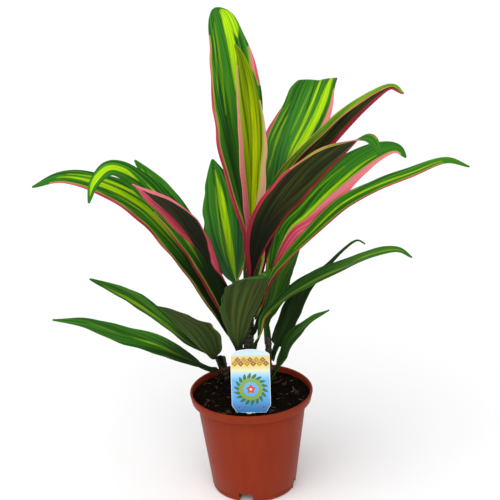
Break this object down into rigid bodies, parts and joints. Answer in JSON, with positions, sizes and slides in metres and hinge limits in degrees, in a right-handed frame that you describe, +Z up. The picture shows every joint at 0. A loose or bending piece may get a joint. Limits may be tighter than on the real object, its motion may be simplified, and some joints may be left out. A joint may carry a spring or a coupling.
{
  "type": "potted ti plant",
  "caption": "Ti plant with long folded leaves, striped green and lime with pink edges, on upright canes in a round tapered nursery pot with a plant label.",
  "frame": {"origin": "middle of the pot's underside, on the surface that the pot stands on", "axes": "+Z up along the canes, +X to the viewer's right across the widest spread of leaves, -Y towards the viewer"},
  "size_m": [0.4146, 0.2309, 0.4993],
  "materials": {
    "pot_plastic": "satin terracotta-coloured moulded plastic",
    "soil_peat": "moist dark peat with fibres",
    "label_card": "printed glossy plastic card",
    "cane_bark": "smooth ringed green-brown cane",
    "leaf_pink_edge": "waxy green leaf with lime stripes, a pink edge and a dark underside",
    "leaf_plain_edge": "waxy dark green leaf with a paler middle and an olive underside"
  },
  "bodies": {
    "root": {"pot": "pot_plastic", "soil": "soil_peat", "plant_label": "label_card", "cane_middle": "cane_bark", "cane_left": "cane_bark", "cane_right": "cane_bark", "leaf_rolled": "leaf_pink_edge", "leaf_tallest": "leaf_pink_edge", "leaf_bent_top": "leaf_pink_edge", "leaf_middle_left": "leaf_pink_edge", "leaf_upper_right": "leaf_pink_edge", "leaf_dark_right": "leaf_pink_edge", "leaf_edged_right": "leaf_pink_edge", "leaf_longest_right": "leaf_pink_edge", "leaf_dark_left": "leaf_pink_edge", "leaf_back_left": "leaf_pink_edge", "leaf_arched_left": "leaf_pink_edge", "leaf_longest_left": "leaf_pink_edge", "leaf_front": "leaf_plain_edge", "leaf_front_left": "leaf_plain_edge", "leaf_low_left": "leaf_plain_edge", "leaf_lowest_left": "leaf_plain_edge", "leaf_back_right": "leaf_plain_edge", "leaf_low_right": "leaf_plain_edge", "leaf_curled_right": "leaf_plain_edge", "leaf_lowest_right": "leaf_plain_edge"}
  },
  "joints": []
}
